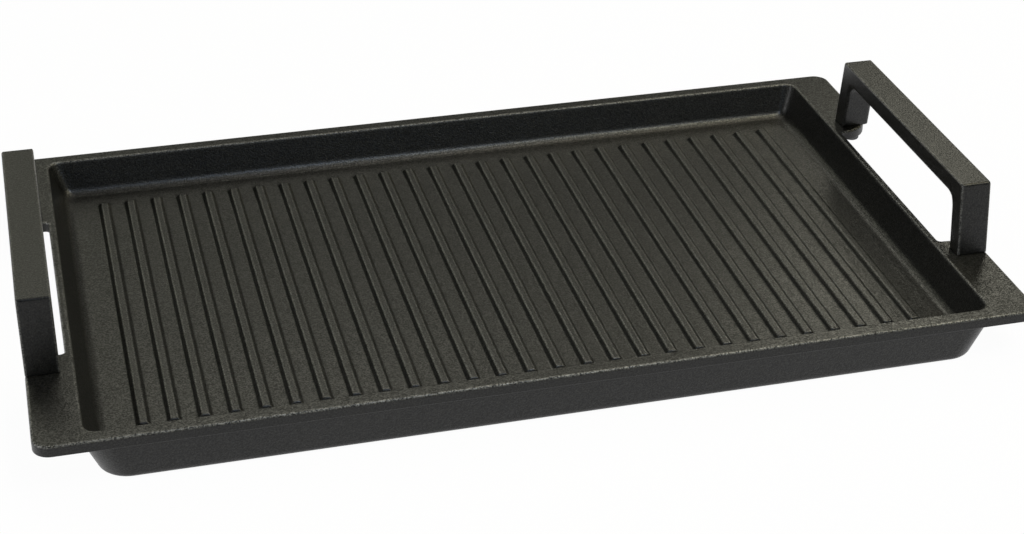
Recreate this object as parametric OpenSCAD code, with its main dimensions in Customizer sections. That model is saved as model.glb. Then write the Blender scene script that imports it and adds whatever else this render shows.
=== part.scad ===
// Cast griddle plate: a shallow ribbed tray with a flat rim, finger notches in
// the end rims and a bridge handle screwed on from below across each notch.
// The origin is the centre of the flat base, +X runs along the length, +Z up.

/* [Tray] */
// Length of the tray opening at the rim
tray_l = 426; // [330:1:480]
// Width of the tray opening at the rim
tray_w = 257; // [220:1:300]
// Depth of the tray from the rim to the floor
tray_d = 17; // [14:0.5:24]
// Draft of the tray walls in degrees
tray_draft = 24; // [16:1:26]
// Fillet between the tray walls and the floor
floor_r = 4.5; // [3:0.5:7]
// Corner radius of the flat part of the floor
floor_corner_r = 1.5; // [1:0.5:5]
// Thickness of the metal under the floor
base_t = 7.5; // [6:0.5:12]

/* [Ribs] */
// Number of ribs across the floor
rib_count = 28; // [16:1:30]
// Height of a rib
rib_h = 2; // [1:0.1:3]
// Width of a rib's flat top
rib_top = 3.7; // [2:0.1:5]
// Width of a rib at the floor
rib_foot = 6.4; // [5.2:0.1:9]
// Rounding of the upper edges of a rib
rib_edge_r = 0.6; // [0.2:0.1:1]
// Bare floor from the wall fillet to the centre of the outermost rib
rib_end_gap = 16.5; // [8:0.1:30]
// Bare floor from the wall fillet to the ends of the ribs
rib_side_gap = 11.5; // [4:0.1:30]

/* [Rim] */
// Width of the rim along the long sides
side_rim = 7.5; // [6:0.5:14]
// Width of the rim at the two ends
end_rim = 22; // [20:0.5:36]
// Thickness of the rim
rim_t = 5.5; // [4:0.5:7]
// Corner radius of the rim in plan
rim_corner_r = 8; // [4:0.5:12]
// Rounding of the rim's edges
edge_r = 1.2; // [0.6:0.1:1.6]

/* [Outer wall] */
// Overhang of the rim past the long walls below it
lip = 0.5; // [0.2:0.1:2]
// Overhang of the rim past the end walls, behind a notch
end_lip = 2.6; // [1.2:0.1:3]
// Draft of the outer walls in degrees
wall_draft = 10; // [4:1:14]
// Corner radius of the base in plan
base_corner_r = 15.5; // [10:0.5:19]
// Rounding along the edge of the base
base_edge_r = 3.5; // [1:0.5:5]

/* [Finger notches] */
// Length of the notch in each end rim
notch_l = 126; // [90:1:150]
// Rim left between the tray opening and the notch
notch_rim = 3.4; // [3.2:0.1:5]
// Fillet in the inner corners of a notch
notch_r = 2; // [2:0.5:6]
// Rounding of the tab corners beside a notch
tab_r = 16; // [2:0.5:16]

/* [Handles] */
// Rim left between the notch and the foot of each post
foot_gap = 5.6; // [5:0.1:10]
// Height of a handle above the rim
handle_h = 37.2; // [28:0.1:60]
// Width of the bar and the posts
handle_w = 15.7; // [12:0.1:16]
// Depth of the bar
bar_t = 10.2; // [7:0.1:12]
// Thickness of a post along the handle
post_t = 10.6; // [10:0.1:14]
// Step in from the foot of a post to its top, which makes it lean
post_step = 5.1; // [3:0.1:9]
// Step from the end of the rim to the handle
handle_inset = 0.1; // [0:0.1:2]
// Fillet between the bar and the posts
arch_r = 7; // [4:0.5:12]
// Rounding of the outer shoulders
shoulder_r = 1.4; // [0.8:0.1:2]
// Rounding of the handle's outer edges
handle_edge_r = 0.9; // [0.6:0.1:1.6]
// Rounding of the edges that the fingers close round
grip_r = 2; // [1:0.1:3.5]

/* [Screws] */
// Diameter of the handle screws
screw_d = 5; // [4:0.1:5.4]
// Reach of a screw into its post
screw_reach = 11; // [7:0.5:14]
// Thread left free above the tip of a screw
screw_run_out = 2; // [1:0.5:4]
// Gap round a screw in the rim
rim_hole_gap = 0.25; // [0.1:0.05:0.5]
// Gap round a screw in its post
post_hole_gap = 0.1; // [0.05:0.05:0.2]
// Diameter of a screw head
head_d = 8.6; // [7:0.1:9]
// Height of a screw head
head_h = 2.8; // [2.2:0.1:4]
// Hexagon socket across its flats
socket_w = 3; // [2:0.1:4]
// Depth of the hexagon socket
socket_d = 1.6; // [1:0.1:2]
// Outer diameter of a spring washer
washer_d = 9.2; // [8.5:0.1:10]
// Thickness of a spring washer
washer_t = 1.2; // [0.8:0.1:2]
// Gap where the spring washer is split
washer_split = 1; // [0.5:0.1:2]

/* [Hidden] */
$fn = 96;

// How far a cutting shape runs past the face that it cuts
past = 1;
// How deep a rib's foot is buried in the floor
bury = 0.5;
// How far a rounding stands proud of a leaning face, so that the two cross cleanly
skim = 0.005;

plate_h = base_t + tray_d;
plate_l = tray_l + 2 * end_rim;
plate_w = tray_w + 2 * side_rim;
rim_z = plate_h - rim_t;
notch_x = tray_l / 2 + notch_rim;

// Length to the nearest hundredth of a millimetre, so that the runs and bends of one shape meet exactly
function to_hundredth(x) = round(x * 100) / 100;

// Run of a rounding of radius r along each of two faces whose normals are turn degrees apart
function tangent_run(r, turn) = r * tan(turn / 2);

floor_run = tangent_run(floor_r, 90 - tray_draft);
wall_run = tray_d * tan(tray_draft);
tray_corner_r = floor_corner_r + floor_run + wall_run;
floor_half_l = tray_l / 2 - wall_run - floor_run;
floor_half_w = tray_w / 2 - wall_run - floor_run;

rib_half_l = floor_half_w - rib_side_gap;
rib_span = 2 * (floor_half_l - rib_end_gap);
rib_pitch = rib_span / (rib_count - 1);
rib_flank = (rib_foot - rib_top) / 2;

wall_h = rim_z + edge_r;
base_run = rim_z * tan(wall_draft);
base_half_l = notch_x - end_lip - base_run;
base_half_w = plate_w / 2 - lip - base_run;
tab_bend_r = min(tab_r, end_rim - notch_rim - notch_r);

handle_l = notch_l + 2 * (foot_gap + post_t);
handle_top_l = handle_l - 2 * post_step;
arch_h = handle_h - bar_t;
post_lean = atan(post_step / handle_h);
arch_bend_y = arch_h - arch_r;
arch_foot_x = handle_l / 2 - post_t;
arch_side_x = to_hundredth(arch_foot_x - arch_bend_y * tan(post_lean));
arch_bend_x = arch_side_x - arch_r;
handle_x = plate_l / 2 - handle_inset - handle_w / 2;

post_hole_d = screw_d + 2 * post_hole_gap;
post_hole_l = screw_reach + screw_run_out;
screw_y = (handle_l - post_t) / 2 - post_hole_l / 2 * tan(post_lean);
screw_hole_d = screw_d + 2 * rim_hole_gap;

right = 1;
left = -1;
rear = 1;
front = -1;

coat_black = [0.17, 0.17, 0.165];
handle_black = [0.2, 0.2, 0.195];
black_steel = [0.27, 0.27, 0.28];

// Solid made by carrying a profile round a rectangle with round corners. The profile
// starts at the centre of a corner and fills the height from z0 to z1 there.
module carried_round(half_l, half_w, corner_r, z0, z1) {
    cx = to_hundredth(half_l - corner_r);
    cy = to_hundredth(half_w - corner_r);
    rotate([90, 0, 90])
        translate([0, 0, -cx])
            linear_extrude(2 * cx) {
                translate([-cy, z0]) square([2 * cy, z1 - z0]);
                for (side = [0, 1])
                    mirror([side, 0]) translate([cy, 0]) children();
            }
    for (end = [0, 1])
        mirror([end, 0, 0])
            translate([cx, cy, 0])
                rotate([90, 0, 0]) linear_extrude(2 * cy) children();
    for (end = [0, 1], side = [0, 1])
        mirror([end, 0, 0])
            mirror([0, side, 0])
                translate([cx, cy, 0]) rotate_extrude(angle = 90) children();
}

// Circle for a rounding between a level face below it and a leaning one
module proud_circle(r) {
    translate([0, skim]) circle(r + skim);
}

// Section that stands on Y = 0 and narrows to a flat top with round corners
module trapezium(half_foot, half_top, h, r) {
    lean = atan((half_foot - half_top) / h);
    centre = [half_top - tangent_run(r, 90 - lean), h - r];
    reach = r + past;
    difference() {
        polygon([[-half_foot, 0], [half_foot, 0], [half_top, h], [-half_top, h]]);
        for (side = [0, 1])
            mirror([side, 0])
                difference() {
                    polygon([
                        centre,
                        centre + [0, reach],
                        [half_top + past, h + past],
                        centre + reach * [cos(lean), sin(lean)]
                    ]);
                    translate(centre) mirror([0, 1]) proud_circle(r);
                }
    }
}

// Section of what comes off to round an edge at the origin, with the part below and to the left
module edge_waste(r, proud = 0) {
    difference() {
        translate([-r, -r]) square(r + past);
        translate([-r, -r]) circle(r + proud);
    }
}

// Rounds a straight edge of a top face at z = 0 from a to b, with the part on the right of the way
module edge_line(a, b, r) {
    way = b - a;
    translate(a)
        rotate(atan2(way.y, way.x))
            rotate([90, 0, 90]) linear_extrude(norm(way)) edge_waste(r);
}

// Rounds an edge in the same way, and runs on past both of its ends
module edge_run(a, b, r) {
    way = b - a;
    translate(a)
        rotate(atan2(way.y, way.x))
            translate([-past, 0, 0])
                rotate([90, 0, 90]) linear_extrude(norm(way) + 2 * past) edge_waste(r, skim);
}

// Rounds an edge that bends with the part inside the bend
module edge_bend(centre, bend_r, from, to, r) {
    translate(centre)
        rotate(from)
            rotate_extrude(angle = to - from)
                translate([bend_r, 0]) edge_waste(r);
}

// Rounds an edge that bends with the part outside the bend
module edge_hollow(centre, bend_r, from, to, r) {
    translate(centre)
        rotate(from)
            rotate_extrude(angle = to - from)
                translate([bend_r, 0]) mirror([1, 0]) edge_waste(r);
}

// Section of the tray as a hollow, outward from the centre of a corner
module tray_section() {
    lip_run = tangent_run(edge_r, 90 - tray_draft);
    wall_foot = [
        floor_corner_r + floor_r * cos(tray_draft),
        base_t + floor_r * (1 - sin(tray_draft))
    ];
    wall_head = [
        tray_corner_r - lip_run * sin(tray_draft),
        plate_h - lip_run * cos(tray_draft)
    ];
    difference() {
        union() {
            polygon([
                [0, base_t],
                [floor_corner_r, base_t],
                [floor_corner_r, base_t + floor_r],
                wall_foot,
                wall_head,
                [tray_corner_r + lip_run, plate_h],
                [tray_corner_r + lip_run, plate_h + past],
                [0, plate_h + past]
            ]);
            translate([floor_corner_r, base_t + floor_r])
                intersection() {
                    proud_circle(floor_r);
                    translate([0, -floor_r]) square(floor_r);
                }
        }
        translate([tray_corner_r + lip_run, plate_h - edge_r]) mirror([0, 1]) proud_circle(edge_r);
    }
}

// Section of the outer wall, outward from the centre of a corner, which runs up into the
// rim as far as the rounding of the rim's lower edge
module wall_section() {
    foot_run = tangent_run(base_edge_r, 90 - wall_draft);
    polygon([
        [0, 0],
        [base_corner_r - foot_run, 0],
        [base_corner_r + foot_run * sin(wall_draft), foot_run * cos(wall_draft)],
        [base_corner_r + wall_h * tan(wall_draft), wall_h],
        [0, wall_h]
    ]);
    translate([base_corner_r - foot_run, base_edge_r]) proud_circle(base_edge_r);
}

// Section of the rim, outward from the centre of a corner
module rim_section() {
    translate([0, rim_z]) square([rim_corner_r - edge_r, rim_t]);
    translate([0, rim_z + edge_r]) square([rim_corner_r, rim_t - 2 * edge_r]);
    for (z = [rim_z + edge_r, plate_h - edge_r])
        translate([rim_corner_r - edge_r, z]) circle(edge_r);
}

// Outline of the right notch in plan
module notch_outline() {
    inner_y = notch_l / 2 - notch_r;
    tab_x = plate_l / 2 - tab_bend_r;
    translate([notch_x, -inner_y]) square([end_rim, 2 * inner_y]);
    translate([notch_x + notch_r, -notch_l / 2]) square([end_rim, notch_l]);
    for (side = [0, 1])
        mirror([0, side]) {
            translate([notch_x + notch_r, inner_y]) circle(notch_r);
            translate([tab_x, notch_l / 2])
                difference() {
                    square([tab_bend_r + past, tab_bend_r]);
                    translate([0, tab_bend_r]) circle(tab_bend_r);
                }
        }
}

// What comes off the upper edges of the right notch
module notch_edges() {
    inner_y = notch_l / 2 - notch_r;
    inner_x = notch_x + notch_r;
    tab_x = plate_l / 2 - tab_bend_r;
    edge_line([notch_x, inner_y], [notch_x, -inner_y], edge_r);
    edge_line([tab_x, notch_l / 2], [inner_x, notch_l / 2], edge_r);
    edge_line([inner_x, -notch_l / 2], [tab_x, -notch_l / 2], edge_r);
    edge_hollow([inner_x, inner_y], notch_r, 90, 180, edge_r);
    edge_hollow([inner_x, -inner_y], notch_r, 180, 270, edge_r);
    edge_bend([tab_x, notch_l / 2 + tab_bend_r], tab_bend_r, 270, 360, edge_r);
    edge_bend([tab_x, -notch_l / 2 - tab_bend_r], tab_bend_r, 0, 90, edge_r);
}

module notch() {
    translate([0, 0, rim_z - past]) linear_extrude(rim_t + 2 * past) notch_outline();
    translate([0, 0, plate_h]) notch_edges();
    translate([0, 0, rim_z]) mirror([0, 0, 1]) notch_edges();
}

module rim() {
    difference() {
        carried_round(plate_l / 2, plate_w / 2, rim_corner_r, rim_z, plate_h) rim_section();
        for (end = [0, 1])
            mirror([end, 0, 0]) notch();
        for (end = [left, right], side = [front, rear])
            translate([end * handle_x, side * screw_y, rim_z - past])
                cylinder(d = screw_hole_d, h = rim_t + 2 * past);
    }
}

// Section of a rib of any width at the floor, with its foot buried
module rib_section(half_foot) {
    bury_run = bury * rib_flank / rib_h;
    translate([0, -bury])
        trapezium(half_foot + bury_run, half_foot - rib_flank, rib_h + bury, rib_edge_r);
}

// Ribs with sloping flanks, cut to sloping ends by one shape across them all
module ribs() {
    intersection() {
        for (i = [0 : rib_count - 1])
            translate([i * rib_pitch - rib_span / 2, floor_half_w, base_t])
                rotate([90, 0, 0])
                    linear_extrude(2 * floor_half_w) rib_section(rib_foot / 2);
        translate([-floor_half_l, 0, base_t])
            rotate([90, 0, 90])
                linear_extrude(2 * floor_half_l) rib_section(rib_half_l);
    }
}

module griddle_plate() {
    color(coat_black) {
        difference() {
            union() {
                carried_round(base_half_l, base_half_w, base_corner_r, 0, wall_h) wall_section();
                rim();
            }
            carried_round(tray_l / 2, tray_w / 2, tray_corner_r, base_t, plate_h + past) tray_section();
        }
        ribs();
    }
}

// Outline of the arch between the posts
module arch_outline() {
    foot_x = arch_foot_x + past * tan(post_lean);
    polygon([
        [-foot_x, -past],
        [foot_x, -past],
        [arch_side_x, arch_bend_y],
        [-arch_side_x, arch_bend_y]
    ]);
    translate([-arch_bend_x, 0]) square([2 * arch_bend_x, arch_h]);
    for (end = [-1, 1])
        translate([end * arch_bend_x, arch_bend_y]) circle(arch_r);
}

// What comes off along the outer edges of one face of a handle
module outer_edges() {
    foot = [handle_l / 2, 0];
    top = [handle_top_l / 2, handle_h];
    edge_run([-foot.x, foot.y], [-top.x, top.y], handle_edge_r);
    edge_run([-top.x, top.y], top, handle_edge_r);
    edge_run(top, foot, handle_edge_r);
}

// What comes off along the edges of the arch in one face of a handle
module arch_edges() {
    foot = [arch_foot_x, 0];
    side = [arch_side_x, arch_bend_y];
    below = [arch_side_x, arch_bend_y - past];
    edge_line([arch_bend_x, arch_h], [-arch_bend_x, arch_h], grip_r);
    edge_hollow([arch_bend_x, arch_bend_y], arch_r, 0, 90, grip_r);
    edge_hollow([-arch_bend_x, arch_bend_y], arch_r, 90, 180, grip_r);
    edge_line(below, side, grip_r);
    edge_line([-side.x, side.y], [-below.x, below.y], grip_r);
    edge_run(foot, side, grip_r);
    edge_run([-side.x, side.y], [-foot.x, foot.y], grip_r);
}

// Handle lying on its side, with its length along X and its feet on Y = 0
module handle_shape() {
    difference() {
        linear_extrude(handle_w, center = true)
            difference() {
                trapezium(handle_l / 2, handle_top_l / 2, handle_h, shoulder_r);
                arch_outline();
            }
        for (face = [0, 1])
            mirror([0, 0, face])
                translate([0, 0, handle_w / 2]) {
                    outer_edges();
                    arch_edges();
                }
    }
}

module handle(end) {
    color(handle_black)
        translate([end * handle_x, 0, plate_h])
            difference() {
                rotate([90, 0, 90]) handle_shape();
                for (side = [front, rear])
                    translate([0, side * screw_y, -past])
                        cylinder(d = post_hole_d, h = post_hole_l + past);
            }
}

// Spring washer under the rim, split on its inner side
module washer(end, side) {
    color(black_steel)
        translate([end * handle_x, side * screw_y, rim_z - washer_t])
            difference() {
                cylinder(d = washer_d, h = washer_t);
                translate([0, 0, -past]) cylinder(d = screw_hole_d, h = washer_t + 2 * past);
                translate([-end * washer_d / 2, 0, washer_t / 2])
                    cube([washer_d, washer_split, washer_t + 2 * past], center = true);
            }
}

// Screw pointing up through the washer and the rim into its post
module screw(end, side) {
    head_z = rim_z - washer_t - head_h;
    tip = screw_d / 6;
    shank_l = washer_t + rim_t + screw_reach - tip;
    color(black_steel)
        translate([end * handle_x, side * screw_y, head_z])
            difference() {
                union() {
                    cylinder(d = head_d, h = head_h);
                    translate([0, 0, head_h]) cylinder(d = screw_d, h = shank_l);
                    translate([0, 0, head_h + shank_l])
                        cylinder(d1 = screw_d, d2 = screw_d - 2 * tip, h = tip);
                }
                translate([0, 0, -past])
                    cylinder(d = socket_w / cos(30), h = socket_d + past, $fn = 6);
            }
}

griddle_plate();
handle(left);  // left_handle
handle(right);  // right_handle
screw(left, front);  // left_front_screw
screw(left, rear);  // left_rear_screw
screw(right, front);  // right_front_screw
screw(right, rear);  // right_rear_screw
washer(left, front);  // left_front_washer
washer(left, rear);  // left_rear_washer
washer(right, front);  // right_front_washer
washer(right, rear);  // right_rear_washer
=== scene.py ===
import math

import bmesh
import bpy
import numpy as np
from mathutils import Matrix, Vector


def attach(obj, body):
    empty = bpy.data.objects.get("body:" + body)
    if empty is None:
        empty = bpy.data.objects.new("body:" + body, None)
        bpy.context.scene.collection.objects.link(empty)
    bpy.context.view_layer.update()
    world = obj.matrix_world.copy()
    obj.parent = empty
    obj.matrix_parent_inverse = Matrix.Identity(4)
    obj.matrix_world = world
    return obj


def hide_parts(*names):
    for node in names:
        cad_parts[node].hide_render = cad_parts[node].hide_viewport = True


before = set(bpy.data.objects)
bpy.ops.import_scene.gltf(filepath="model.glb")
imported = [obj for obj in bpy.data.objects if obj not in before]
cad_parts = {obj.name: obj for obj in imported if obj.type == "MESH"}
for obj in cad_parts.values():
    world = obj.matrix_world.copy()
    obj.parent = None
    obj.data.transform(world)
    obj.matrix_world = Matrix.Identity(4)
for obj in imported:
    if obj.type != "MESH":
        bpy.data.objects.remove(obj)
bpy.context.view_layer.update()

# Griddle plate
# One die casting in aluminium: a shallow ribbed tray with drafted walls, a flat rim with a
# finger notch at each end and a flat base. The walls and edges keep the round corners that
# let it leave the mould, and it is sprayed all over with a black baked non-stick coat.

mm = 0.001
merge_distance = 0.002 * mm

# Sizes are in millimetres, and heights are above the ground
rim_top = 24.5
rim_under = 19.0
rim_edge = 1.2
rim_low_edge = 0.25
rim_half = np.array([235.0, 136.0])
rim_corner = 8.0

floor_top = 7.5
floor_half = np.array([201.54, 117.04])
floor_corner = 4.0
floor_fillet = 6.0
tray_draft = math.radians(24)
mouth_run = 11.46
mouth_corner = 6.5
mouth_edge = 1.2

wall_half = np.array([215.4, 135.3])
wall_corner = 14.7
end_draft = math.radians(22.4)
side_draft = math.radians(6.3)
base_edge = 3.5

notch_back = 216.4
notch_half = 63.0
notch_fillet = 2.0
tab_corner = 16.0

rib_count = 28
rib_pitch = 13.7785
rib_height = 2.0
rib_half_foot = 3.2
rib_half_top = 1.85
rib_half_length = 106.1
rib_end_run = 0.95
rib_foot_bend = 0.3
rib_head_bend = 0.5
# Pale bands along the round edges of the rib tops: partly wear, partly a painted highlight.
rib_edge_at = 1.3
rib_edge_reach = 0.6
rib_edge_wear_and_highlight = 0.32
rib_end_unmarked = 1.0


def arc(centre, radius, start, end, count):
    """Points of a circle about a centre, at equal steps between two angles in degrees."""
    angle = np.radians(np.linspace(start, end, count))
    return np.column_stack([centre[0] + radius * np.cos(angle), centre[1] + radius * np.sin(angle)])


def soft_ramp(t, foot, head):
    """Ramp from 0 to 1 as t goes from 0 to 1, with a parabola of the given half width at each bend."""
    def hinge(x, soft):
        return np.where(x <= -soft, 0, np.where(x >= soft, x, (x + soft) ** 2 / (4 * soft)))
    return hinge(t, foot) - hinge(t - 1, head)


def rib_distance(x):
    """Distance across from the middle line of the nearest rib."""
    nearest = np.clip(np.round(x / rib_pitch - 0.5), -rib_count / 2, rib_count / 2 - 1) + 0.5
    return np.abs(x - nearest * rib_pitch)


def rib_relief(x, y):
    """Share of the rib height at a point of the floor.

    The distance in from the foot of the nearest rib, over the width of its flank, is a ramp
    with soft bends. The ends of the ribs have a steeper ramp, and the lower of the two holds.
    """
    flank = rib_half_foot - rib_half_top
    across = soft_ramp((rib_half_foot - rib_distance(x)) / flank, rib_foot_bend, rib_head_bend)
    along = soft_ramp((rib_half_length - np.abs(y)) / rib_end_run, rib_foot_bend, rib_head_bend)
    return np.minimum(across, along)


def rib_wear_and_highlight(x, y):
    """Wear and a painted highlight on the ribs: a band along each round edge of the top, none in its middle
    or at its ends.
    """
    band = np.clip(1 - np.abs(rib_distance(x) - rib_edge_at) / rib_edge_reach, 0, 1)
    return rib_edge_wear_and_highlight * band * (np.abs(y) < rib_half_length - rib_end_unmarked)


def quads(rows, columns, closed):
    """Four-cornered faces of a grid of points, row by row.

    If it is closed, the last column is joined to the first.
    """
    i = np.arange(rows - 1)[:, None] * columns
    j = np.arange(columns if closed else columns - 1)[None, :]
    k = (j + 1) % columns
    return np.stack([i + j, i + columns + j, i + columns + k, i + k], -1).reshape(-1, 4)


def end_caps(rows, columns):
    """The two faces that close the first and the last row of a closed grid."""
    first = np.arange(columns)
    last = first[::-1] + (rows - 1) * columns
    return [first.tolist(), last.tolist()]


def add_piece(name, points, faces, wear_and_highlight, node):
    """Makes a smooth closed mesh from points in millimetres and has it stand for a node of the frame.

    Points that meet are merged, which closes seams and poles, and the pale edge marks, partly wear and
    partly a painted highlight, are kept as an attribute.
    """
    mesh = bpy.data.meshes.new(name)
    mesh.from_pydata((points * mm).tolist(), [], faces)
    attribute = mesh.attributes.new("wear_and_highlight", "FLOAT", "POINT")
    attribute.data.foreach_set("value", np.ascontiguousarray(wear_and_highlight, np.float32))
    body = bmesh.new()
    body.from_mesh(mesh)
    bmesh.ops.remove_doubles(body, verts=body.verts, dist=merge_distance)
    body.to_mesh(mesh)
    body.free()
    mesh.shade_smooth()
    piece = bpy.data.objects.new(name, mesh)
    bpy.context.scene.collection.objects.link(piece)
    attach(piece, "root")
    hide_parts(node)
    return piece


# A quarter turn round the plate, from the middle of the right end to the middle of the far side.
# Each sample has its place on the rectangle of corner centres and its way outwards. The samples
# are close together where the ribs, their ends and the notch bend.
floor_inner = floor_half - floor_corner
past_ribs_x = 194.5
past_ribs_y = 110.5
rib_half_steps = np.array([0.7, 1.3, 1.65, 2.0, 2.4, 2.75, 3.15, 3.6, 4.0])
rib_steps = np.concatenate([-rib_half_steps, [0], rib_half_steps])
rib_middles = (np.arange(rib_count // 2) + 0.5) * rib_pitch
rib_x = np.sort((rib_middles[:, None] + rib_steps).ravel())[::-1]
far_x = np.concatenate([[floor_inner[0], past_ribs_x], rib_x, [0]])

notch_straight = notch_half - notch_fillet
tab_foot = notch_half + tab_corner
back_steps = 6
fillet_steps = 7
side_steps = 3
tab_steps = 9
notch_steps = back_steps + fillet_steps + side_steps + tab_steps - 3
fillet_from_y = 57
rib_end_y = np.linspace(104.7, 106.4, 9)
end_y = np.concatenate([
    np.linspace(0, fillet_from_y, back_steps),
    np.linspace(fillet_from_y, notch_straight, fillet_steps)[1:],
    np.linspace(notch_straight, notch_half, side_steps)[1:],
    np.linspace(notch_half, tab_foot, tab_steps)[1:],
    [85, 92, 99, 104],
    rib_end_y,
    [past_ribs_y, floor_inner[1]],
])
corner_steps = 15
bend = np.radians(np.linspace(0, 90, corner_steps)[1:-1])
quarter_at = np.concatenate([
    np.column_stack([np.ones_like(end_y), end_y / floor_inner[1]]),
    np.ones((len(bend), 2)),
    np.column_stack([far_x / floor_inner[0], np.ones_like(far_x)]),
])
quarter_out = np.concatenate([
    np.tile([1.0, 0.0], (len(end_y), 1)),
    np.column_stack([np.cos(bend), np.sin(bend)]),
    np.tile([0.0, 1.0], (len(far_x), 1)),
])

# The same quarter along the rim's outline, which goes in and out of the notch
rim_bend = rim_half - rim_corner
tab_share = (end_y[notch_steps:] - tab_foot) / (floor_inner[1] - tab_foot)
tab_y = tab_foot + (rim_bend[1] - tab_foot) * tab_share
side_x = np.linspace(notch_back + notch_fillet, rim_half[0] - tab_corner, side_steps)[1:]
quarter_rim = np.concatenate([
    np.column_stack([np.full(back_steps, notch_back), np.linspace(0, notch_straight, back_steps)]),
    arc([notch_back + notch_fillet, notch_straight], notch_fillet, 180, 90, fillet_steps)[1:],
    np.column_stack([side_x, np.full_like(side_x, notch_half)]),
    arc([rim_half[0] - tab_corner, tab_foot], tab_corner, -90, 0, tab_steps)[1:],
    np.column_stack([np.full_like(tab_y, rim_half[0]), tab_y]),
    rim_bend + rim_corner * quarter_out[len(end_y):len(end_y) + len(bend)],
    np.column_stack([rim_bend[0] * far_x / floor_inner[0], np.full_like(far_x, rim_half[1])]),
])
notch_turn = np.radians(np.concatenate([
    np.zeros(back_steps),
    np.linspace(0, -90, fillet_steps)[1:],
    np.full(side_steps - 1, -90),
    np.linspace(-90, 0, tab_steps)[1:],
]))
quarter_rim_out = quarter_out.copy()
quarter_rim_out[:notch_steps] = np.column_stack([np.cos(notch_turn), np.sin(notch_turn)])


def all_round(quarter):
    """Four mirrored quarters joined end to end, anticlockwise from above."""
    flipped = quarter[::-1]
    return np.concatenate([quarter, flipped[1:] * [-1, 1], -quarter[1:], flipped[1:-1] * [1, -1]])


at = all_round(quarter_at)
out = all_round(quarter_out)
rim_line = all_round(quarter_rim)
rim_out = all_round(quarter_rim_out)


def rings(half, corner, height):
    """Rounded rectangles, each with its half sizes, corner radius and height, which may vary round it."""
    flat = at * (half - corner[:, None])[:, None] + corner[:, None, None] * out
    return np.concatenate([flat, np.broadcast_to(height, flat.shape[:2])[..., None]], -1)


def rim_rings(inset, height):
    """The rim's outline moved inwards along its own normals by each inset, at its height."""
    flat = rim_line - inset[:, None, None] * rim_out
    return np.concatenate([flat, np.broadcast_to(height[:, None, None], flat.shape[:2] + (1,))], -1)


wall_shares = np.array([[0.0], [0.04], [0.5], [0.95]])
base_margin = 1.0


def wall_line(draft):
    """Steps out from the head of an outer wall, and heights, down it and round the edge of the base."""
    run = base_edge * math.tan((math.pi / 2 - draft) / 2)
    edge = arc([-rim_under * math.tan(draft) - run, base_edge], base_edge, -math.degrees(draft), -90, 7)
    head = np.array([0, rim_under])
    down = head + (edge[0] - head) * wall_shares
    return np.concatenate([down, edge, [edge[-1] - [base_margin, 0]]])


# The section of the plate, from the edge of the floor over the rim and down to the base. A point
# on the flat close to each bend keeps the shading of the flat even.
floor_margin = 0.3
lip_margin = 0.45
rim_margin = 0.25
rim_face_high = 23.0
rim_face_low = 19.6
tray_lean = math.degrees(tray_draft)
lip_run = mouth_edge * math.tan((math.pi / 2 - tray_draft) / 2)
fillet = arc([0, floor_top + floor_fillet], floor_fillet, -90, -tray_lean, 10)
lip = arc([mouth_run + lip_run, rim_top - mouth_edge], mouth_edge, 180 - tray_lean, 90, 6)
tray_shares = np.array([[0.06], [0.5], [0.94]])
up = fillet[-1] + (lip[0] - fillet[-1]) * tray_shares
tray_line = np.concatenate([
    [[-floor_margin, floor_top]], fillet, up, lip, [[mouth_run + lip_run + lip_margin, rim_top]],
])
rise_share = (tray_line[:, 1] - floor_top) / (rim_top - floor_top)
tray_bend = floor_corner + (mouth_corner - floor_corner) * rise_share
upper = arc([rim_edge, rim_top - rim_edge], rim_edge, 90, 180, 6)
lower = arc([rim_low_edge, rim_under + rim_low_edge], rim_low_edge, 180, 270, 3)
rim_face = [[0, rim_face_high], [0, rim_face_low]]
rim_section = np.concatenate([[[rim_edge + rim_margin, rim_top]], upper, rim_face, lower])
end_line = wall_line(end_draft)
side_line = wall_line(side_draft)
toward_end = out[:, 0] ** 2
wall_z = end_line[:, 1:] * toward_end + side_line[:, 1:] * (1 - toward_end)
edge_from = len(wall_shares)
wall_bend = np.full(len(end_line), wall_corner)
wall_bend[edge_from:] += side_line[edge_from:, 0] - side_line[edge_from, 0]

shell = np.concatenate([
    rings(floor_inner[None], np.zeros(1), np.full((1, 1), floor_top)),
    rings(floor_half + tray_line[:, :1], tray_bend, tray_line[:, 1:]),
    rim_rings(*rim_section.T),
    rings(wall_half + np.column_stack([end_line[:, 0], side_line[:, 0]]), wall_bend, wall_z),
])

# Pale edge marks from ring to ring, partly wear and partly a painted highlight: none in the tray, some over
# its lip, most on the rim's upper edge
lip_wear_and_highlight = [0.15, 0.35, 0.45, 0.45, 0.35, 0.15]
rim_wear_and_highlight = [0.2, 0.6, 0.9, 0.8, 0.4, 0]
shell_wear_and_highlight = np.concatenate([
    np.zeros(2 + len(fillet) + len(up)),
    lip_wear_and_highlight,
    np.zeros(2),
    rim_wear_and_highlight,
    np.zeros(len(rim_face) + len(lower) + len(end_line)),
])

floor_x = np.concatenate([far_x, -far_x[:-1][::-1]])[::-1]
floor_y = np.concatenate([-end_y[:0:-1], end_y])
grid_x, grid_y = np.meshgrid(floor_x, floor_y)
floor = np.stack([grid_x, grid_y, floor_top + rib_height * rib_relief(grid_x, grid_y)], -1)
floor_wear_and_highlight = rib_wear_and_highlight(grid_x, grid_y)

turns, columns = shell.shape[:2]
shell_faces = quads(turns, columns, True)
floor_faces = quads(len(floor_y), len(floor_x), False)[:, ::-1] + turns * columns
base_face = end_caps(turns, columns)[1]
plate = add_piece(
    "griddle_plate_coated",
    np.concatenate([shell.reshape(-1, 3), floor.reshape(-1, 3)]),
    shell_faces.tolist() + floor_faces.tolist() + [base_face],
    np.concatenate([np.repeat(shell_wear_and_highlight, columns), floor_wear_and_highlight.ravel()]),
    "griddle_plate",
)


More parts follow.
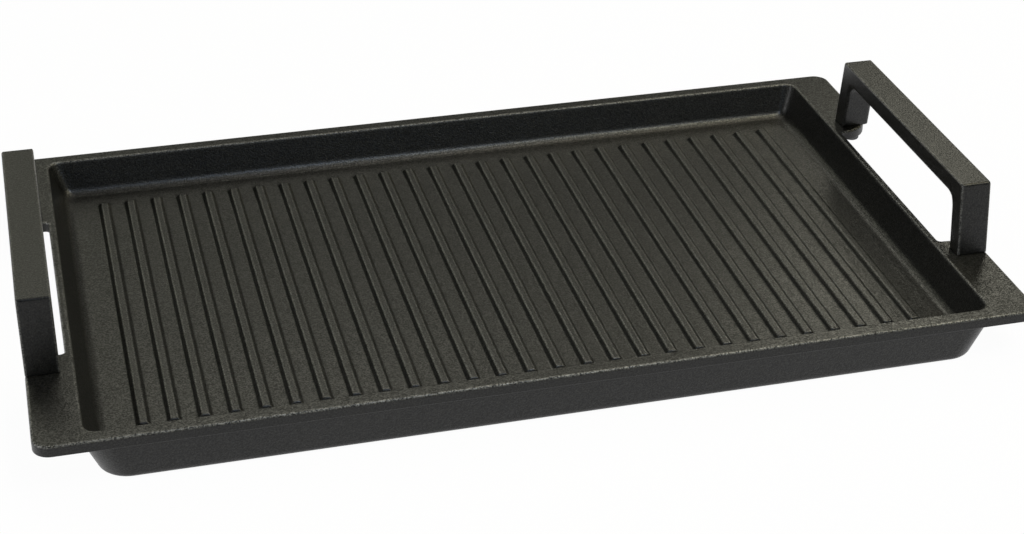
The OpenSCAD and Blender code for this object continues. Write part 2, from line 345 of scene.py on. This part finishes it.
def map_range(nodes, link, value, low, high, to_low=0.0, to_high=1.0):
    """Output of a node that maps a value evenly from one span to another and holds it at the ends."""
    node = nodes.new("ShaderNodeMapRange")
    node.inputs["From Min"].default_value = low
    node.inputs["From Max"].default_value = high
    node.inputs["To Min"].default_value = to_low
    node.inputs["To Max"].default_value = to_high
    link(value, node.inputs["Value"])
    return node.outputs["Result"]


def cast_grain_group():
    """Grain of a sprayed coat over a casting, in three sizes of noise, with specks of bare particles.

    Tone is a slow unevenness of the spray plus a fine grain, Grain is the fine grain alone, Speck
    marks one cell in five of a cell pattern, and Height is the grain with a low swell below it.
    """
    group = bpy.data.node_groups.new("cast_coat_grain", "ShaderNodeTree")
    group.interface.new_socket("Position", in_out="INPUT", socket_type="NodeSocketVector")
    for name in ("Tone", "Grain", "Speck", "Height"):
        group.interface.new_socket(name, in_out="OUTPUT", socket_type="NodeSocketFloat")
    nodes, link = group.nodes, group.links.new
    start = nodes.new("NodeGroupInput")
    end = nodes.new("NodeGroupOutput")

    def noise(scale, detail):
        node = nodes.new("ShaderNodeTexNoise")
        node.inputs["Scale"].default_value = scale
        node.inputs["Detail"].default_value = detail
        node.inputs["Roughness"].default_value = 0.6
        link(start.outputs["Position"], node.inputs["Vector"])
        return node.outputs["Fac"]

    def blend(a, b, share):
        node = nodes.new("ShaderNodeMix")
        node.inputs["Factor"].default_value = share
        link(a, node.inputs["A"])
        link(b, node.inputs["B"])
        return node.outputs["Result"]

    fine = noise(scale=1250, detail=2)
    swell = noise(scale=220, detail=2)
    slow = noise(scale=24, detail=3)
    cells = nodes.new("ShaderNodeTexVoronoi")
    cells.inputs["Scale"].default_value = 1900
    link(start.outputs["Position"], cells.inputs["Vector"])
    chance = nodes.new("ShaderNodeSeparateColor")
    link(cells.outputs["Color"], chance.inputs["Color"])
    link(blend(slow, fine, share=0.8), end.inputs["Tone"])
    link(fine, end.inputs["Grain"])
    link(map_range(nodes, link, chance.outputs["Red"], 0.8, 1.0), end.inputs["Speck"])
    link(blend(fine, swell, share=0.3), end.inputs["Height"])
    return group


cast_grain = cast_grain_group()
speck_colour = (0.015, 0.0148, 0.0125)
# Pale colour of the edge marks: partly coat rubbed thin, partly a painted highlight.
rubbed_and_highlight_colour = (0.26, 0.256, 0.235)


def coat_material(name, dark, light, sparkle):
    """Baked coat: two tones mixed by the grain, with specks, and edges made paler on the grains by wear and
    a painted highlight.

    The sheen lies on the grains where the coat settled on faces that look up, and is more even on walls.
    """
    material = bpy.data.materials.new(name)
    material.use_nodes = True
    nodes, link = material.node_tree.nodes, material.node_tree.links.new
    shader = nodes["Principled BSDF"]
    shader.inputs["Specular IOR Level"].default_value = 0.25
    shader.inputs["Coat Roughness"].default_value = 0.3
    place = nodes.new("ShaderNodeTexCoord")
    grain = nodes.new("ShaderNodeGroup")
    grain.node_tree = cast_grain
    link(place.outputs["Object"], grain.inputs["Position"])
    wear_and_highlight = nodes.new("ShaderNodeAttribute")
    wear_and_highlight.attribute_name = "wear_and_highlight"

    tone = nodes.new("ShaderNodeValToRGB")
    tone.color_ramp.elements[0].position = 0.36
    tone.color_ramp.elements[1].position = 0.64
    tone.color_ramp.elements[0].color = (*dark, 1)
    tone.color_ramp.elements[1].color = (*light, 1)
    link(grain.outputs["Tone"], tone.inputs["Fac"])

    def over(below, share, colour):
        node = nodes.new("ShaderNodeMix")
        node.data_type = "RGBA"
        node.inputs["B"].default_value = (*colour, 1)
        link(share, node.inputs["Factor"])
        link(below, node.inputs["A"])
        return node.outputs["Result"]

    # Edge marks from the vertex attribute, paler on the high grains: partly wear, partly a painted
    # highlight.
    rub_and_highlight = nodes.new("ShaderNodeMath")
    rub_and_highlight.operation = "MULTIPLY"
    link(wear_and_highlight.outputs["Fac"], rub_and_highlight.inputs[0])
    link(map_range(nodes, link, grain.outputs["Grain"], 0.35, 0.7), rub_and_highlight.inputs[1])
    specked = over(tone.outputs["Color"], grain.outputs["Speck"], speck_colour)
    link(over(specked, rub_and_highlight.outputs["Value"], rubbed_and_highlight_colour), shader.inputs["Base Color"])

    sheen = map_range(nodes, link, grain.outputs["Grain"], 0.4, 0.7)
    upright = nodes.new("ShaderNodeSeparateXYZ")
    link(place.outputs["Normal"], upright.inputs["Vector"])
    settled = map_range(nodes, link, upright.outputs["Z"], 0.2, 0.9, to_low=0.3, to_high=sparkle)
    even = nodes.new("ShaderNodeMix")
    even.inputs["A"].default_value = 0.2
    link(settled, even.inputs["Factor"])
    link(sheen, even.inputs["B"])
    link(even.outputs["Result"], shader.inputs["Coat Weight"])

    gloss = map_range(nodes, link, grain.outputs["Tone"], 0.3, 0.7, to_low=0.34, to_high=0.46)
    link(gloss, shader.inputs["Roughness"])

    relief = nodes.new("ShaderNodeBump")
    relief.inputs["Distance"].default_value = 0.35 * mm
    link(grain.outputs["Height"], relief.inputs["Height"])
    link(relief.outputs["Normal"], shader.inputs["Normal"])
    return material


plate.data.materials.append(coat_material(
    "black_plate_coat", dark=(0.001, 0.001, 0.0008), light=(0.0065, 0.0064, 0.0053), sparkle=1.0,
))

# Bridge handles
# Two aluminium castings, one at each end: a flat bar on two leaning posts, with the arch under
# the bar eased for the fingers. They are sprayed black like the plate and stand on its rim,
# each pulled down by two screws from below.

handle_x = 227.05
handle_width = 15.7
handle_height = 37.2
bar_depth = 10.2
foot_outer = 79.2
foot_inner = 68.6
post_run = 5.1
post_lean = math.atan(post_run / handle_height)
arch_fillet = 7.0
shoulder = 1.4
outer_edge = 0.9
grip_edge = 2.0
edge_margin = 0.4
grip_margin = 0.5
foot_ease = 0.3
grip_wear = 0.1


def handle_stations():
    """Outer and inner points of the handle's side view, in pairs from a foot to the middle of the bar.

    Up a post the pairs keep level. Round the corner the inner points follow the fillet of the arch
    while the outer ones climb to the shoulder, turn round it and run on along the top.
    """
    slope = math.tan(post_lean)
    lean = math.degrees(post_lean)
    bend_h = handle_height - bar_depth - arch_fillet
    bend_y = foot_inner - bend_h * slope - arch_fillet / math.cos(post_lean)
    up = np.array([0, foot_ease, 0.9, 6, 12, 18])
    outer_post = np.column_stack([foot_outer - up * slope, up])
    inner_post = np.column_stack([foot_inner - up * slope, up])

    run = shoulder * math.tan((math.pi / 2 - post_lean) / 2)
    top_y = foot_outer - handle_height * slope
    turn = arc([top_y - run, handle_height - shoulder], shoulder, lean, 90, 7)
    climb_h = bend_h + 1
    climb_from = np.array([foot_outer - climb_h * slope, climb_h])
    climb = climb_from + (turn[0] - climb_from) * np.array([[0], [0.25], [0.5], [0.75], [0.95]])
    level = turn[-1] + ([bend_y, handle_height] - turn[-1]) * np.array([[0.05], [0.3], [0.6], [1]])
    outer_bend = np.concatenate([climb, turn, level])
    angle = np.radians(np.concatenate([
        np.linspace(lean, 44, len(climb)),
        np.linspace(46, 52, len(turn)),
        np.linspace(55, 90, len(level)),
    ]))
    way = np.column_stack([np.cos(angle), np.sin(angle)])
    inner_bend = np.array([bend_y, bend_h]) + arch_fillet * way

    along = np.array([0.97, 0.66, 0.33, 0]) * bend_y
    outer_bar = np.column_stack([along, np.full_like(along, handle_height)])
    inner_bar = np.column_stack([along, np.full_like(along, handle_height - bar_depth)])
    outer = np.concatenate([outer_post, outer_bend, outer_bar])
    inner = np.concatenate([inner_post, inner_bend, inner_bar])
    post_depth = (foot_outer - foot_inner) * math.cos(post_lean)
    depth = np.concatenate([
        np.full(len(up) + len(climb), post_depth),
        np.linspace(post_depth, bar_depth, len(turn)),
        np.full(len(level) + len(along), bar_depth),
    ])
    ease = np.zeros(len(outer))
    ease[0] = foot_ease
    return outer, inner, depth, ease


def handle_shell(end):
    """Closed shell of a handle: a round-cornered section carried over the arch from foot to foot.

    A section is given by its share of the way from the inner to the outer line and its place across
    the width. Its corners are quarter circles, wider where the fingers close round them.
    """
    outer, inner, depth, ease = handle_stations()
    mirror = np.array([-1, 1])
    outer = np.concatenate([outer, outer[-2::-1] * mirror])
    inner = np.concatenate([inner, inner[-2::-1] * mirror])
    depth = np.concatenate([depth, depth[-2::-1]])
    ease = np.concatenate([ease, ease[-2::-1]])

    half = handle_width / 2
    top = arc([-outer_edge, half - outer_edge], outer_edge, 0, 90, 6)
    grip = arc([grip_edge, half - grip_edge], grip_edge, 90, 180, 8)
    over = np.concatenate([
        [[0, 0], [0, half - outer_edge - edge_margin]], top, [[-outer_edge - edge_margin, half]],
    ])
    under = np.concatenate([
        [[grip_edge + edge_margin, half]], grip, [[0, half - grip_edge - grip_margin], [0, 0]],
    ])
    from_outer = np.concatenate([np.ones(len(over)), np.zeros(len(under))])
    rise = np.concatenate([over, under])
    rise_all = np.concatenate([rise, (rise * [1, -1])[-2:0:-1]])
    from_outer = np.concatenate([from_outer, from_outer[-2:0:-1]])

    share = from_outer + rise_all[:, 0] / depth[:, None]
    share = 0.5 + (share - 0.5) * (1 - 2 * ease / depth)[:, None]
    across = rise_all[:, 1] * (1 - 2 * ease / handle_width)[:, None]
    side_view = inner[:, None] + (outer - inner)[:, None] * share[..., None]
    points = np.stack([end * handle_x + across, side_view[..., 0], rim_top + side_view[..., 1]], -1)

    # Pale marks on the round top edges: partly wear, partly a painted highlight. The grip edges get a
    # little wear.
    top_edge_wear_and_highlight = [0, 0, 0.2, 0.5, 0.6, 0.6, 0.5, 0.2, 0]
    under_wear = grip_wear * np.sin(np.linspace(0, math.pi, len(grip)))
    edge = np.concatenate([top_edge_wear_and_highlight, [0], under_wear, [0, 0]])
    wear_and_highlight = np.broadcast_to(np.concatenate([edge, edge[-2:0:-1]]), points.shape[:2])
    rows, columns = points.shape[:2]
    faces = quads(rows, columns, True).tolist() + end_caps(rows, columns)
    return points.reshape(-1, 3), faces, wear_and_highlight.ravel()


handle_coat = coat_material(
    "black_handle_coat", dark=(0.0015, 0.0015, 0.0013), light=(0.007, 0.0069, 0.0059), sparkle=0.6,
)
for end, side_name in ((-1, "left"), (1, "right")):
    points, faces, wear_and_highlight = handle_shell(end)
    name = f"{side_name}_handle"
    handle = add_piece(f"{name}_coated", points, faces, wear_and_highlight, name)
    handle.data.materials.append(handle_coat)

# Handle screws
# Four button screws of steel with a hexagon socket and a black oxide finish, driven up from under
# the rim into the posts. Only their heads show, and only from below.

screw_y = 73.009
head_low = 15.0
head_height = 2.8
head_radius = 4.3
head_round = 0.9
head_edge = 0.3
socket_half = 1.5
socket_depth = 1.6
socket_ease = 0.05
socket_mouth_width = 0.18
socket_mouth_height = 0.2
neck_height = 0.5
shank_radius = 2.5
shank_top = 35.5
thread_pitch = 0.8
thread_depth = 0.4
thread_clearance = 0.02
thread_above_neck = 0.6
thread_below_top = 0.8
thread_fade = 1.2
tip_height = 0.4
tip_step = 0.5
tip_taper = 0.85


def screw_shell():
    """Closed shell of a screw about its own axis, in rings with a radius for each angle.

    The rings run from the bottom of the socket out over the head and up the shank. A hexagon's radius
    is its half width over the cosine of the angle from the middle of a flat. The thread's radius falls
    by a triangle wave of the height less the turn, in pitches.
    """
    angle = np.linspace(0, 2 * math.pi, 48, endpoint=False)
    hexagon = socket_half / np.cos((angle + math.pi / 6) % (math.pi / 3) - math.pi / 6)
    plain = np.ones_like(angle)
    neck = head_low + head_height
    under = arc([head_radius - head_round, head_low + head_round], head_round, -90, 0, 6)
    above = arc([head_radius - head_edge, neck - head_edge], head_edge, 0, 90, 4)
    socket = [
        (0 * plain, head_low + socket_depth),
        (0.98 * hexagon, head_low + socket_depth),
        (hexagon, head_low + socket_depth - socket_ease),
        (hexagon, head_low + socket_mouth_height),
        (hexagon + socket_mouth_width, head_low),
    ]
    head = [(r * plain, z) for r, z in np.concatenate([under, above])]
    low = socket + head
    shank = [(shank_radius * plain, neck), (shank_radius * plain, neck + neck_height)]
    heights = np.arange(neck + thread_above_neck, shank_top - thread_below_top, thread_pitch / 8)
    phase = (heights[:, None] / thread_pitch - angle / (2 * math.pi)) % 1
    fade = np.clip((heights - neck - thread_above_neck) / thread_fade, 0, 1)[:, None]
    thread = shank_radius - thread_clearance - thread_depth * fade * (1 - np.abs(2 * phase - 1))
    tip = [
        ((shank_radius - tip_step) * plain, shank_top - tip_height),
        ((shank_radius - tip_taper) * plain, shank_top),
        (0 * plain, shank_top),
    ]
    radius = np.concatenate([[r for r, z in low + shank], thread, [r for r, z in tip]])
    z = np.concatenate([[z for r, z in low + shank], heights, [z for r, z in tip]])
    points = np.stack([
        radius * np.cos(angle),
        radius * np.sin(angle),
        np.broadcast_to(z[:, None], radius.shape),
    ], -1)
    return points.reshape(-1, 3), quads(len(z), len(angle), True)[:, ::-1].tolist()


def black_oxide_material(name):
    """Black oxide on steel: dark metal in patches of a cool and a warm tone, its gloss finely scratched."""
    material = bpy.data.materials.new(name)
    material.use_nodes = True
    nodes, link = material.node_tree.nodes, material.node_tree.links.new
    shader = nodes["Principled BSDF"]
    shader.inputs["Metallic"].default_value = 1.0
    place = nodes.new("ShaderNodeTexCoord")
    patches = nodes.new("ShaderNodeTexNoise")
    patches.inputs["Scale"].default_value = 420
    patches.inputs["Detail"].default_value = 3
    link(place.outputs["Object"], patches.inputs["Vector"])
    tone = nodes.new("ShaderNodeValToRGB")
    tone.color_ramp.elements[0].position = 0.35
    tone.color_ramp.elements[1].position = 0.65
    tone.color_ramp.elements[0].color = (0.056, 0.058, 0.062, 1)
    tone.color_ramp.elements[1].color = (0.086, 0.084, 0.08, 1)
    link(patches.outputs["Fac"], tone.inputs["Fac"])
    link(tone.outputs["Color"], shader.inputs["Base Color"])
    scratches = nodes.new("ShaderNodeTexNoise")
    scratches.inputs["Scale"].default_value = 2600
    scratches.inputs["Detail"].default_value = 4
    link(place.outputs["Object"], scratches.inputs["Vector"])
    gloss = map_range(nodes, link, scratches.outputs["Fac"], 0.0, 1.0, to_low=0.26, to_high=0.5)
    link(gloss, shader.inputs["Roughness"])
    relief = nodes.new("ShaderNodeBump")
    relief.inputs["Strength"].default_value = 0.15
    relief.inputs["Distance"].default_value = 0.05 * mm
    link(scratches.outputs["Fac"], relief.inputs["Height"])
    link(relief.outputs["Normal"], shader.inputs["Normal"])
    return material


black_oxide = black_oxide_material("black_oxide_steel")
posts = [
    ("left_front", -1, -1),
    ("left_rear", -1, 1),
    ("right_front", 1, -1),
    ("right_rear", 1, 1),
]
screw_points, screw_faces = screw_shell()
for post, end, side in posts:
    points = screw_points + [end * handle_x, side * screw_y, 0]
    name = f"{post}_screw"
    screw = add_piece(f"{name}_black", points, screw_faces, np.zeros(len(points)), name)
    screw.data.materials.append(black_oxide)

# Spring washers
# A split ring of square steel wire under each screw head. It is squeezed flat against the rim and
# keeps the handle from working loose.

washer_low = 17.8
washer_high = 19.0
washer_inner = 2.75
washer_outer = 4.6
washer_edge = 0.2
washer_gap = 1.0


def washer_shell(end):
    """Closed shell of a split ring: a round-cornered wire section carried round an arc with a gap."""
    middle_r = (washer_inner + washer_outer) / 2
    middle_z = (washer_low + washer_high) / 2
    flat_r = (washer_outer - washer_inner) / 2 - washer_edge
    flat_z = (washer_high - washer_low) / 2 - washer_edge
    section = np.concatenate([
        arc([flat_r, flat_z], washer_edge, 0, 90, 4),
        arc([-flat_r, flat_z], washer_edge, 90, 180, 4),
        arc([-flat_r, -flat_z], washer_edge, 180, 270, 4),
        arc([flat_r, -flat_z], washer_edge, 270, 360, 4),
    ])
    gap = math.asin(washer_gap / 2 / middle_r)
    angle = np.linspace(gap, 2 * math.pi - gap, 49) + (math.pi if end > 0 else 0)
    radius = middle_r + section[:, 0]
    points = np.stack([
        radius * np.cos(angle)[:, None],
        radius * np.sin(angle)[:, None],
        np.broadcast_to(middle_z + section[:, 1], (len(angle), len(section))),
    ], -1)
    rows, columns = points.shape[:2]
    return points.reshape(-1, 3), quads(rows, columns, True).tolist() + end_caps(rows, columns)


for post, end, side in posts:
    points, faces = washer_shell(end)
    points = points + [end * handle_x, side * screw_y, 0]
    name = f"{post}_washer"
    washer = add_piece(f"{name}_black", points, faces, np.zeros(len(points)), name)
    washer.data.materials.append(black_oxide)

# Studio
# A white sheet under the plate, clear from below, and eight soft lights in a dim room: warm ones on
# the right and behind, a cool one in front, and white ones overhead and on the left. The camera
# stands a little left of the middle and looks down at thirty degrees.

sheet_half = 6
sheet_top = -0.1 * mm
sheet_white = 0.97


def seen_as_white(nodes, link):
    """One for rays from the eye, from a gloss or through glass, for which the sheet is plain white."""
    path = nodes.new("ShaderNodeLightPath")
    seen = path.outputs["Is Camera Ray"]
    for name in ("Is Glossy Ray", "Is Transmission Ray"):
        either = nodes.new("ShaderNodeMath")
        either.operation = "MAXIMUM"
        link(seen, either.inputs[0])
        link(path.outputs[name], either.inputs[1])
        seen = either.outputs["Value"]
    return seen


sheet_mesh = bpy.data.meshes.new("white_sheet")
corner_ways = ((-1, -1), (1, -1), (1, 1), (-1, 1))
sheet_corners = [(x * sheet_half, y * sheet_half, sheet_top) for x, y in corner_ways]
sheet_mesh.from_pydata(sheet_corners, [], [(0, 1, 2, 3)])
white_sheet = bpy.data.objects.new("white_sheet", sheet_mesh)
bpy.context.scene.collection.objects.link(white_sheet)
paper = bpy.data.materials.new("white_paper")
paper.use_nodes = True
nodes, link = paper.node_tree.nodes, paper.node_tree.links.new
matt = nodes["Principled BSDF"]
matt.inputs["Base Color"].default_value = (0.85, 0.85, 0.85, 1)
matt.inputs["Roughness"].default_value = 0.9
matt.inputs["Specular IOR Level"].default_value = 0.1
glow = nodes.new("ShaderNodeEmission")
glow.inputs["Strength"].default_value = 1.0
most = nodes.new("ShaderNodeMath")
most.operation = "MULTIPLY"
most.inputs[1].default_value = sheet_white
link(seen_as_white(nodes, link), most.inputs[0])
both = nodes.new("ShaderNodeMixShader")
link(most.outputs["Value"], both.inputs["Fac"])
link(matt.outputs["BSDF"], both.inputs[1])
link(glow.outputs["Emission"], both.inputs[2])
from_below = nodes.new("ShaderNodeMixShader")
link(nodes.new("ShaderNodeNewGeometry").outputs["Backfacing"], from_below.inputs["Fac"])
link(both.outputs["Shader"], from_below.inputs[1])
link(nodes.new("ShaderNodeBsdfTransparent").outputs["BSDF"], from_below.inputs[2])
link(from_below.outputs["Shader"], nodes["Material Output"].inputs["Surface"])
sheet_mesh.materials.append(paper)

world = bpy.data.worlds.new("studio")
bpy.context.scene.world = world
world.use_nodes = True
nodes, link = world.node_tree.nodes, world.node_tree.links.new
room = nodes["Background"]
room.inputs["Color"].default_value = (0.8, 0.9, 1.0, 1)
room.inputs["Strength"].default_value = 0.03
backdrop = nodes.new("ShaderNodeBackground")
backdrop.inputs["Color"].default_value = (1, 1, 1, 1)
either = nodes.new("ShaderNodeMixShader")
link(nodes.new("ShaderNodeLightPath").outputs["Is Camera Ray"], either.inputs["Fac"])
link(room.outputs["Background"], either.inputs[1])
link(backdrop.outputs["Background"], either.inputs[2])
link(either.outputs["Shader"], nodes["World Output"].inputs["Surface"])


def softbox(name, place, size, power, colour):
    """Area light of the given width and height at a place, turned to face the middle of the base."""
    data = bpy.data.lights.new(name, "AREA")
    data.shape = "RECTANGLE"
    data.size, data.size_y = size
    data.energy = power
    data.color = colour
    lamp = bpy.data.objects.new(name, data)
    lamp.location = place
    lamp.rotation_euler = (-Vector(place)).to_track_quat("-Z", "Y").to_euler()
    bpy.context.scene.collection.objects.link(lamp)


softbox("right_light", (0.815, -0.637, 1.593), (1.1, 0.5), 16, (1.0, 0.92, 0.62))
softbox("front_light", (0.373, -1.024, 1.556), (0.7, 0.7), 8.5, (0.5, 0.68, 1.0))
softbox("overhead_light", (0.325, 0.057, 1.871), (0.9, 0.6), 3, (1.0, 0.98, 1.0))
softbox("high_right_light", (0.476, 0.275, 1.18), (0.5, 0.5), 2, (1.0, 0.9, 0.64))
softbox("high_back_light", (0.106, 1.217, 1.455), (0.7, 0.7), 5.8, (1.0, 0.98, 0.83))
softbox("back_right_light", (0.61, 0.72, 0.66), (0.3, 0.3), 1.15, (1.0, 0.97, 0.8))
softbox("back_left_light", (-0.563, 1.546, 0.95), (0.7, 0.7), 1.8, (1.0, 1.0, 0.8))
softbox("left_light", (-1.745, -0.468, 0.587), (0.6, 0.6), 15, (1.0, 1.0, 1.0))

lens_data = bpy.data.cameras.new("studio_camera")
lens_data.sensor_width = 36
lens_data.lens = 70.873
camera = bpy.data.objects.new("studio_camera", lens_data)
bpy.context.scene.collection.objects.link(camera)
right = np.array([0.96775, -0.25179, 0.00801])
upward = np.array([0.12086, 0.49196, 0.86219])
back = np.array([-0.22103, -0.83342, 0.50652])
stand = np.array([-0.21737, -0.86132, 0.52564])
pose = np.eye(4)
pose[:3] = np.column_stack([right, upward, back, stand])
camera.matrix_world = Matrix(pose.tolist())
bpy.context.scene.camera = camera
bpy.context.scene.view_settings.view_transform = "Standard"
